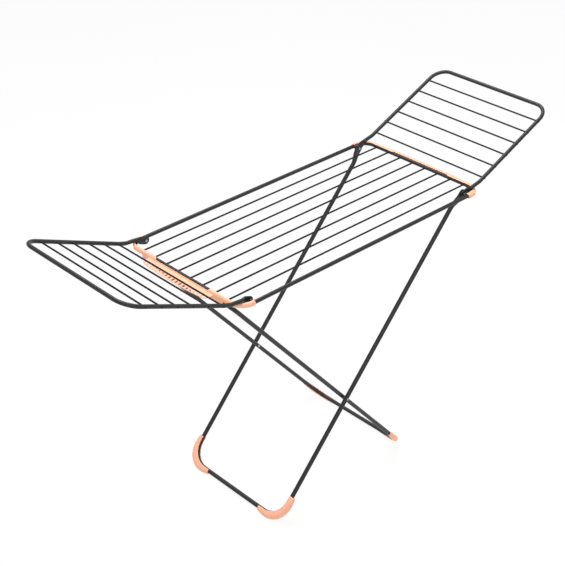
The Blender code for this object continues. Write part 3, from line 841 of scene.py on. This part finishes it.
def bar_shape(start, end, up, across, along, power=6.0):
    """Straight bar of superellipse section with softly rounded ends."""
    path = np.array([start, end], float)
    whole = run_length(path)[-1]
    tip = min(across, along)
    near = tip * np.array([0.03, 0.12, 0.3, 0.6, 1.0])
    path = add_stations(path, np.concatenate([near, whole - near]))
    s = run_length(path)
    past = np.clip(np.minimum(s, s[-1] - s) / tip, 0.02, 1)
    inset = tip * (1 - np.sqrt(1 - (1 - past) ** 2))
    return tube_surface(path, up, across - inset, along - inset, power, sides=28)


class RACK_OT_left_cover(bpy.types.Operator):
    """Mould the left end cover with its hanger ledge and the lip that hooks the inner frame"""

    bl_idname = "rack.left_cover"
    bl_label = "Left end cover"

    def execute(self, context):
        size = context.scene.rack_sizes
        cover = cover_shape(
            size, LEFT_END, 1, LEFT_STOP, wall=size.cover_wall, below=108, narrow=24, full=100
        )
        flat, quads = ledge_net(size)
        skin = LEFT_END - size.tube - CLEARANCE - size.cover_wall
        away = np.clip(skin - flat[:, 0], 0, ROOT_FILLET)
        dip = np.sqrt(np.maximum(ROOT_FILLET**2 - (ROOT_FILLET - away) ** 2, 0))
        half = LEDGE_THICK + ROOT_FILLET - dip
        ledge, faces = plate_surface(flat, quads, half)
        ledge = ledge + (0, 0, DECK_Z)
        lip_x = INNER_TOP[0] - size.inner_tube - 0.0018
        lip_z = DECK_Z - 0.0128
        ends = (lip_x, -HOOK_HALF, lip_z), (lip_x, HOOK_HALF, lip_z)
        lip = bar_shape(*ends, (0, 0, 1), 0.0012, 0.0082)
        material = finish_for("moulding")
        make_piece("left_end_cover", [cover, lip], "deck", material, ("end_cover_left",))
        make_piece("hanger_ledge", [(ledge, faces)], "deck", material, bevel=0.0005)
        return {"FINISHED"}


class RACK_OT_right_cover(bpy.types.Operator):
    """Mould the right end cover with its narrow outer lip"""

    bl_idname = "rack.right_cover"
    bl_label = "Right end cover"

    def execute(self, context):
        size = context.scene.rack_sizes
        cover = cover_shape(size, RIGHT_END, -1, RIGHT_STOP, wall=0.0045, below=60, narrow=84, full=114)
        x = RIGHT_END + 0.0143
        z = DECK_Z + 0.0008
        lip = bar_shape((x, -0.155, z), (x, 0.155, z), (0, 0, 1), 0.0064, 0.0013)
        material = finish_for("moulding")
        make_piece("right_end_cover", [cover, lip], "deck", material, ("end_cover_right",))
        return {"FINISHED"}


# ---- wings ----
PLATE_Y = 0.2510       # middle of a wing's hinge plate
PLATE_HALF = 0.0132
PLATE_THICK = 0.0026
# corners of an arm, outwards and up from the deck plane; None lies on the wing's own slope
BENDS = {
    "left": ((0.5140, 0.0150), (0.5520, 0.0178), (0.5780, None)),
    "right": ((0.5290, 0.0142), (0.5660, None)),
}
PEEN_RADIUS = 0.0036
PEEN_HEIGHT = 0.0012


def wing_slope(side):
    """Height above the deck plane of a wing's straight part: a line through its first and last wires."""
    first, last = middle("%s_wing_wire_1" % side), middle("%s_wing_wire_6" % side)
    rise = (last[2] - first[2]) / (abs(last[0]) - abs(first[0]))
    return lambda x: first[2] - DECK_Z + (x - abs(first[0])) * rise


def pressed_tube(path, up, tube, plate, plate_end, tube_start, offset, sides):
    """Tube with flat pressed ends; `plate` is its half thickness and half width.

    Section = tube + (plate - tube) times the share of flatness. The ends also move sideways by
    `offset` times that share, and taper in a half circle at the tip.
    """
    thick, wide = plate
    flat, tongue = flattening(path, plate_end, tube_start, wide)
    path[:, 1] += np.sign(path[:, 1]) * offset * flat
    across = (tube + (thick - tube) * flat) * (0.55 + 0.45 * tongue)
    along = (tube + (wide - tube) * flat) * tongue
    return tube_surface(path, up, across, along, 2 + 3.0 * flat, sides=sides)


def add_plate_stations(path, tip, reach, count):
    """Extra points along both pressed ends: finely over the tip, then evenly up to `reach`."""
    marks = np.concatenate([tip * TIP_STEPS, np.linspace(0.012, reach, count)])
    return add_stations(path, np.concatenate([marks, run_length(path)[-1] - marks]))


def flattening(path, plate_end, tube_start, tip):
    """Share of flatness along a tube with pressed ends, and the tongue's half circle at its tip."""
    s = run_length(path)
    past = np.minimum(s, s[-1] - s)
    flat = 1 - ease((past - plate_end) / (tube_start - plate_end))
    tongue = np.sqrt(np.clip(1 - (1 - np.clip(past / tip, 0.004, 1)) ** 2, 0, 1))
    return flat, tongue


def wing_shape(side, hinge, size):
    """One bent tube: plate, crank over the end tube, arm, end, and back the same way."""
    sign = -1 if side == "left" else 1
    level = wing_slope(side)
    bends = [(x, level(x) if z is None else z) for x, z in BENDS[side]]
    pivot = np.array([abs(hinge[0]), 0.0])
    aim = unit(np.array(bends[0]) - pivot)
    profile = [tuple(pivot - aim * PLATE_HALF), *bends, (WING_OUT, level(WING_OUT))]
    y = WING_SIDE
    near = [(sign * x, -y, DECK_Z + z) for x, z in profile]
    far = [(px, -py, pz) for px, py, pz in near[::-1]]
    radii = [0.060] + [0.045] * (len(bends) - 1)
    path = bent_path(near + far, radii + [size.wing_corner] * 2 + radii[::-1])
    path = add_plate_stations(path, PLATE_HALF, 0.06, 17)
    up = np.array([-sign * (level(1) - level(0)), 0, 1.0])
    plate = PLATE_THICK, PLATE_HALF
    return pressed_tube(path, up, size.tube, plate, 0.0330, 0.0540, PLATE_Y - y, 28)


class RACK_OT_wing_tubes(bpy.types.Operator):
    """Bend the two wing tubes, with their ends pressed flat at the hinges"""

    bl_idname = "rack.wing_tubes"
    bl_label = "Wing tubes"

    def execute(self, context):
        size = context.scene.rack_sizes
        for side, hinge in (("left", LEFT_HINGE), ("right", RIGHT_HINGE)):
            nodes = ["%s_wing_%s" % (side, part) for part in ("arm_near", "arm_far", "end")]
            shape = wing_shape(side, hinge, size)
            make_piece("%s_wing_tube" % side, [shape], "%s_wing" % side, finish_for("tube"), nodes)
        return {"FINISHED"}


class RACK_OT_wing_wires(bpy.types.Operator):
    """Pass the cross wires through both arms of each wing, peened over on the outside"""

    bl_idname = "rack.wing_wires"
    bl_label = "Wing wires"

    def execute(self, context):
        size = context.scene.rack_sizes
        reach = WING_SIDE + size.tube + 0.0015
        for side in ("left", "right"):
            names = numbered("%s_wing_wire" % side, 6)
            shapes = []
            for name in names:
                x, _, z = middle(name)
                ends = (x, -reach, z), (x, reach, z)
                shapes.append(wire_shape(*ends, size.wire, (0, 0, 1), 0.0008, 2 * size.tube + 0.0015))
                base = WING_SIDE + size.tube - 0.0003
                cap = dome(PEEN_RADIUS, PEEN_HEIGHT, base + 0.0005, 1)[::-1]
                head = np.concatenate([[(PEEN_RADIUS, base)], cap])
                shapes += [turned_surface(head, np.array([x, 0, z]), end, 16) for end in (-1, 1)]
            make_piece("%s_wing_wires" % side, shapes, "%s_wing" % side, finish_for("wire"), names)
        return {"FINISHED"}


# ---- leg frames ----
LEG_PLATE_Y = 0.2445   # middle of an outer leg's hinge plate
LEG_PLATE_HALF = 0.0150
LEG_PLATE_THICK = 0.0031


def leg_face(top, foot):
    """Direction square to a leg frame's plane."""
    climb = unit(np.array([top[0] - foot[0], 0, top[1] - foot[1]]))
    return np.cross(climb, (0, 1, 0))


class RACK_OT_outer_legs(bpy.types.Operator):
    """Bend the outer leg frame, cranked out and pressed flat at the deck hinge"""

    bl_idname = "rack.outer_legs"
    bl_label = "Outer leg frame"

    def execute(self, context):
        size = context.scene.rack_sizes
        y = OUTER_SIDE
        climb = unit(OUTER_TOP - OUTER_FOOT)
        tip = OUTER_TOP + climb * LEG_PLATE_HALF
        corners = [(tip[0], -y, tip[1]), (OUTER_FOOT[0], -y, OUTER_FOOT[1])]
        corners += [(px, -py, pz) for px, py, pz in corners[::-1]]
        path = bent_path(corners, (size.leg_corner,) * 2)
        path = add_plate_stations(path, LEG_PLATE_HALF, 0.09, 25)
        face = leg_face(OUTER_TOP, OUTER_FOOT)
        plate = LEG_PLATE_THICK, LEG_PLATE_HALF
        shape = pressed_tube(path, face, size.outer_tube, plate, 0.0240, 0.0760, LEG_PLATE_Y - y, 32)
        nodes = ("leg_outer_near", "leg_outer_far", "leg_outer_base")
        make_piece("outer_leg_tube", [shape], "leg_outer", finish_for("tube"), nodes)
        return {"FINISHED"}


class RACK_OT_inner_legs(bpy.types.Operator):
    """Bend the inner leg frame: a closed loop whose top bar rests in the left cover's hook"""

    bl_idname = "rack.inner_legs"
    bl_label = "Inner leg frame"

    def execute(self, context):
        size = context.scene.rack_sizes
        y = INNER_SIDE
        half_way = (INNER_TOP + INNER_FOOT) / 2
        plan = [(half_way, -y), (INNER_FOOT, -y), (INNER_FOOT, y)]
        plan += [(INNER_TOP, y), (INNER_TOP, -y), (half_way, -y)]
        corners = [(point[0], py, point[1]) for point, py in plan]
        radii = (size.leg_corner, size.leg_corner, size.top_corner, size.top_corner)
        path = bent_path(corners, radii)[:-1]
        face = leg_face(INNER_TOP, INNER_FOOT)
        tube = size.inner_tube
        shape = tube_surface(path, face, tube, tube, sides=32, closed=True)
        nodes = ("leg_inner_near", "leg_inner_far", "leg_inner_base", "leg_inner_bar")
        make_piece("inner_leg_tube", [shape], "leg_inner", finish_for("tube"), nodes)
        return {"FINISHED"}


BOOT_LENGTH = 0.100
BOOT_RISE = 0.092    # length up the leg; the other is along the floor
BOOT_ROUND = 0.0030  # reach of a boot's rounded ends


def boot_shape(top, foot, half_w, side, tube, stop, lip, size):
    """Corner boot: a clip thickest at the heel of the bend, planed flat underneath.

    Back thickness = lip + 1.6 mm + heel times (1 - distance from the sharp corner over boot
    length) to the power 0.8. Anything below the floor is lifted to it, which leaves a flat sole.
    """
    climb = unit(np.array([top[0] - foot[0], 0, top[1] - foot[1]]))
    sharp = np.array([foot[0], side * half_w, foot[1]])
    inner_end = sharp - (0, side * BOOT_LENGTH, 0)
    path = bent_path([sharp + climb * BOOT_RISE, sharp, inner_end], (size.leg_corner,), math.radians(4))
    near = BOOT_ROUND * END_STEPS
    s = run_length(path)
    path = add_stations(path, np.concatenate([near, s[-1] - near, np.linspace(0.01, s[-1] - 0.01, 14)]))
    away = np.linalg.norm(path - sharp, axis=1)
    wall = lip + 0.0016 + size.boot_heel * np.clip(1 - away / BOOT_LENGTH, 0, 1) ** 0.8
    up = np.cross(climb, (0, 1, 0))
    fade = 0.35 + 0.65 * end_fade(path, BOOT_ROUND)
    points, faces = clip_surface(
        path, up, tube + CLEARANCE, wall, lip, stop, stop, side, fade, steps=34
    )
    points[:, 2] = np.maximum(points[:, 2], 0.0)
    return points, faces


class RACK_OT_boots(bpy.types.Operator):
    """Mould the four corner boots that the rack stands on"""

    bl_idname = "rack.boots"
    bl_label = "Corner boots"

    def execute(self, context):
        size = context.scene.rack_sizes
        # the clip's stop angle in degrees and its lip come last
        frames = (
            ("outer", OUTER_TOP, OUTER_FOOT, OUTER_SIDE, size.outer_tube, 118, size.boot_wall),
            ("inner", INNER_TOP, INNER_FOOT, INNER_SIDE, size.inner_tube, 62, 0.0008),
        )
        for name, top, foot, half_w, tube, stop, lip in frames:
            for place, side in (("near", -1), ("far", 1)):
                shape = boot_shape(top, foot, half_w, side, tube, math.radians(stop), lip, size)
                title, node = "%s_%s_boot" % (name, place), "foot_%s_%s" % (name, place)
                make_piece(title, [shape], "leg_" + name, finish_for("moulding"), (node,))
        return {"FINISHED"}


# ---- rivets ----
RIVET_SHANK = 0.0030
SPACER_RADIUS = 0.0074


def dome(radius, height, reach, sign):
    """Quarter-ellipse head from its pole to its rim: (radius sin a, reach + sign height cos a)."""
    turn = np.linspace(0.04, math.pi / 2, 9)
    return np.stack([radius * np.sin(turn), reach + sign * height * np.cos(turn)], -1)


def rivet_profile(head, shank, start, end, closed_tail):
    """Domed head before `start`, shank to `end`, then a flat set tail or a second head."""
    rows = [dome(head, 0.0022, start - 0.0008, -1), [(head, start), (shank, start)], [(shank, end)]]
    if closed_tail:
        tail = head * 0.85
        rows += [[(tail, end), (tail, end + 0.0006)], dome(tail, 0.0015, end + 0.0006, 1)[::-1]]
    else:
        rows += [[(shank * 0.8, end + 0.0002), (shank * 0.5, end - 0.0004), (0.0003, end - 0.0006)]]
    return np.concatenate([np.asarray(r, float) for r in rows])


def ring_profile(inner, outer, start, end, soften):
    """Washer section with softened corners, as a closed loop of (radius, reach)."""
    loop = [(inner, start), (outer - soften, start), (outer, start + soften), (outer, end - soften)]
    return np.array(loop + [(outer - soften, end), (inner, end)])


def ring_surface(loop, centre, side):
    """Turned ring: a closed loop of (radius, reach) carried round a circle."""
    faces = [grid_quads(len(loop), 32, wrap_rows=True)]
    return turned_points(loop, centre, side, 32), faces


class RACK_OT_rivets(bpy.types.Operator):
    """Set the hinge and crossing rivets, with the black spacers between plates and tubes"""

    bl_idname = "rack.rivets"
    bl_label = "Rivets and spacers"

    def execute(self, context):
        size = context.scene.rack_sizes
        head, shank = size.rivet_head, RIVET_SHANK
        metal, black = finish_for("rivet"), finish_for("spacer")
        for place, side in (("near", -1), ("far", 1)):
            plate = PLATE_Y - PLATE_THICK - 0.0002
            leg = LEG_PLATE_Y - LEG_PLATE_THICK - 0.0002
            tail = DECK_SIDE + size.tube - 0.0010
            inner = INNER_SIDE - size.inner_tube - 0.0002
            outer = OUTER_SIDE + size.outer_tube + 0.0002
            rows = (
                ("wing", LEFT_HINGE, "deck", plate, tail, False),
                ("hinge", RIGHT_HINGE, "deck", leg, tail, False),
                ("cross", CROSSING, "leg_outer", inner, outer, True),
            )
            for name, at, body, start, end, closed in rows:
                centre = np.array([at[0], 0, at[2]])
                shape = turned_surface(rivet_profile(head, shank, start, end, closed), centre, side)
                node = "%s_rivet_%s" % (name, place)
                make_piece(node + "_set", [shape], body, metal, (node,), crisp=50)
            gap = PLATE_Y + PLATE_THICK + 0.0002, DECK_SIDE - size.tube + 0.0004
            for name, at in (("left", LEFT_HINGE), ("right", RIGHT_HINGE)):
                centre = np.array([at[0], 0, at[2]])
                loop = ring_profile(shank + 0.0001, SPACER_RADIUS, *gap, 0.0006)
                make_piece("%s_spacer_%s" % (name, place), [ring_surface(loop, centre, side)], "deck", black)
        return {"FINISHED"}


# ---- stage ----
def soft_lamp(name, at, aim, size, power):
    """Square area lamp aimed at a point."""
    lamp = bpy.data.lights.new(name, "AREA")
    lamp.shape = "SQUARE"
    lamp.size = size
    lamp.energy = power
    holder = bpy.data.objects.new(name, lamp)
    holder.location = at
    holder.rotation_mode = "QUATERNION"
    holder.rotation_quaternion = (Vector(aim) - Vector(at)).to_track_quat("-Z", "Y")
    bpy.context.scene.collection.objects.link(holder)


class RACK_OT_stage(bpy.types.Operator):
    """Lay the pale floor, hang the soft lamps and stand the camera"""

    bl_idname = "rack.stage"
    bl_label = "Floor, lamps and camera"

    def execute(self, context):
        scene = context.scene
        reach = 9.0
        edge = np.linspace(-reach, reach, 9)
        x, y = np.meshgrid(edge, edge, indexing="ij")
        points = np.stack([x, y, np.zeros_like(x) - 0.0002], -1).reshape(-1, 3)
        mesh = bpy.data.meshes.new("floor")
        quads = grid_quads(len(edge), len(edge), wrap_columns=False)[:, ::-1]
        mesh.from_pydata(points.tolist(), [], quads.tolist())
        mesh.materials.append(floor_material(tuple(scene.rack_finish.floor_colour)))
        floor = bpy.data.objects.new("floor", mesh)
        scene.collection.objects.link(floor)
        world = bpy.data.worlds.new("studio")
        world.use_nodes = True
        sky = world.node_tree.nodes["Background"].inputs
        sky["Color"].default_value = (1, 1, 1, 1)
        sky["Strength"].default_value = 0.55
        scene.world = world
        scene.view_settings.view_transform = "Standard"
        aim = (0.0, 0.0, 0.6)
        soft_lamp("key_lamp", (-2.4, -3.2, 3.6), aim, 2.6, 50.0)
        soft_lamp("fill_lamp", (3.4, -1.6, 2.6), aim, 2.4, 16.0)
        soft_lamp("top_lamp", (0.5, 1.1, 4.2), aim, 2.8, 150.0)
        camera = bpy.data.cameras.new("camera")
        camera.sensor_width = 36.0
        camera.lens = 87.90
        camera.shift_x, camera.shift_y = -0.0043, -0.0003
        camera.clip_end = 60.0
        holder = bpy.data.objects.new("camera", camera)
        right = Vector((0.734098, -0.678847, -0.016323)).normalized()
        ahead = Vector((0.573181, 0.632363, -0.521134)).normalized()
        rise = right.cross(ahead)
        turn = Matrix((right, rise, -ahead)).transposed().to_4x4()
        turn.translation = (-2.73930, -2.90558, 3.13763)
        holder.matrix_world = turn
        scene.collection.objects.link(holder)
        scene.camera = holder
        return {"FINISHED"}


OPERATORS = (
    RACK_OT_deck_tube,
    RACK_OT_deck_wires,
    RACK_OT_left_cover,
    RACK_OT_right_cover,
    RACK_OT_wing_tubes,
    RACK_OT_wing_wires,
    RACK_OT_outer_legs,
    RACK_OT_inner_legs,
    RACK_OT_boots,
    RACK_OT_rivets,
    RACK_OT_stage,
)


class RACK_PT_panel(bpy.types.Panel):
    """Sizes, finishes and build steps of the drying rack"""

    bl_idname = "RACK_PT_panel"
    bl_label = "Drying Rack"
    bl_space_type = "VIEW_3D"
    bl_region_type = "UI"
    bl_category = "Drying Rack"

    def draw(self, context):
        column = self.layout.column(align=True)
        for group in (context.scene.rack_sizes, context.scene.rack_finish):
            for name in type(group).__annotations__:
                column.prop(group, name)
            column.separator()
        for operator in OPERATORS:
            column.operator(operator.bl_idname)


CLASSES = (RackSizes, RackFinish, *OPERATORS, RACK_PT_panel)


def register():
    for cls in CLASSES:
        bpy.utils.register_class(cls)
    bpy.types.Scene.rack_sizes = bpy.props.PointerProperty(type=RackSizes)
    bpy.types.Scene.rack_finish = bpy.props.PointerProperty(type=RackFinish)


def unregister():
    del bpy.types.Scene.rack_finish
    del bpy.types.Scene.rack_sizes
    for cls in reversed(CLASSES):
        bpy.utils.unregister_class(cls)


def main():
    """Register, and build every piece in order."""
    register()
    for operator in OPERATORS:
        family, step = operator.bl_idname.split(".")
        getattr(getattr(bpy.ops, family), step)()


if __name__ == "__main__":
    main()
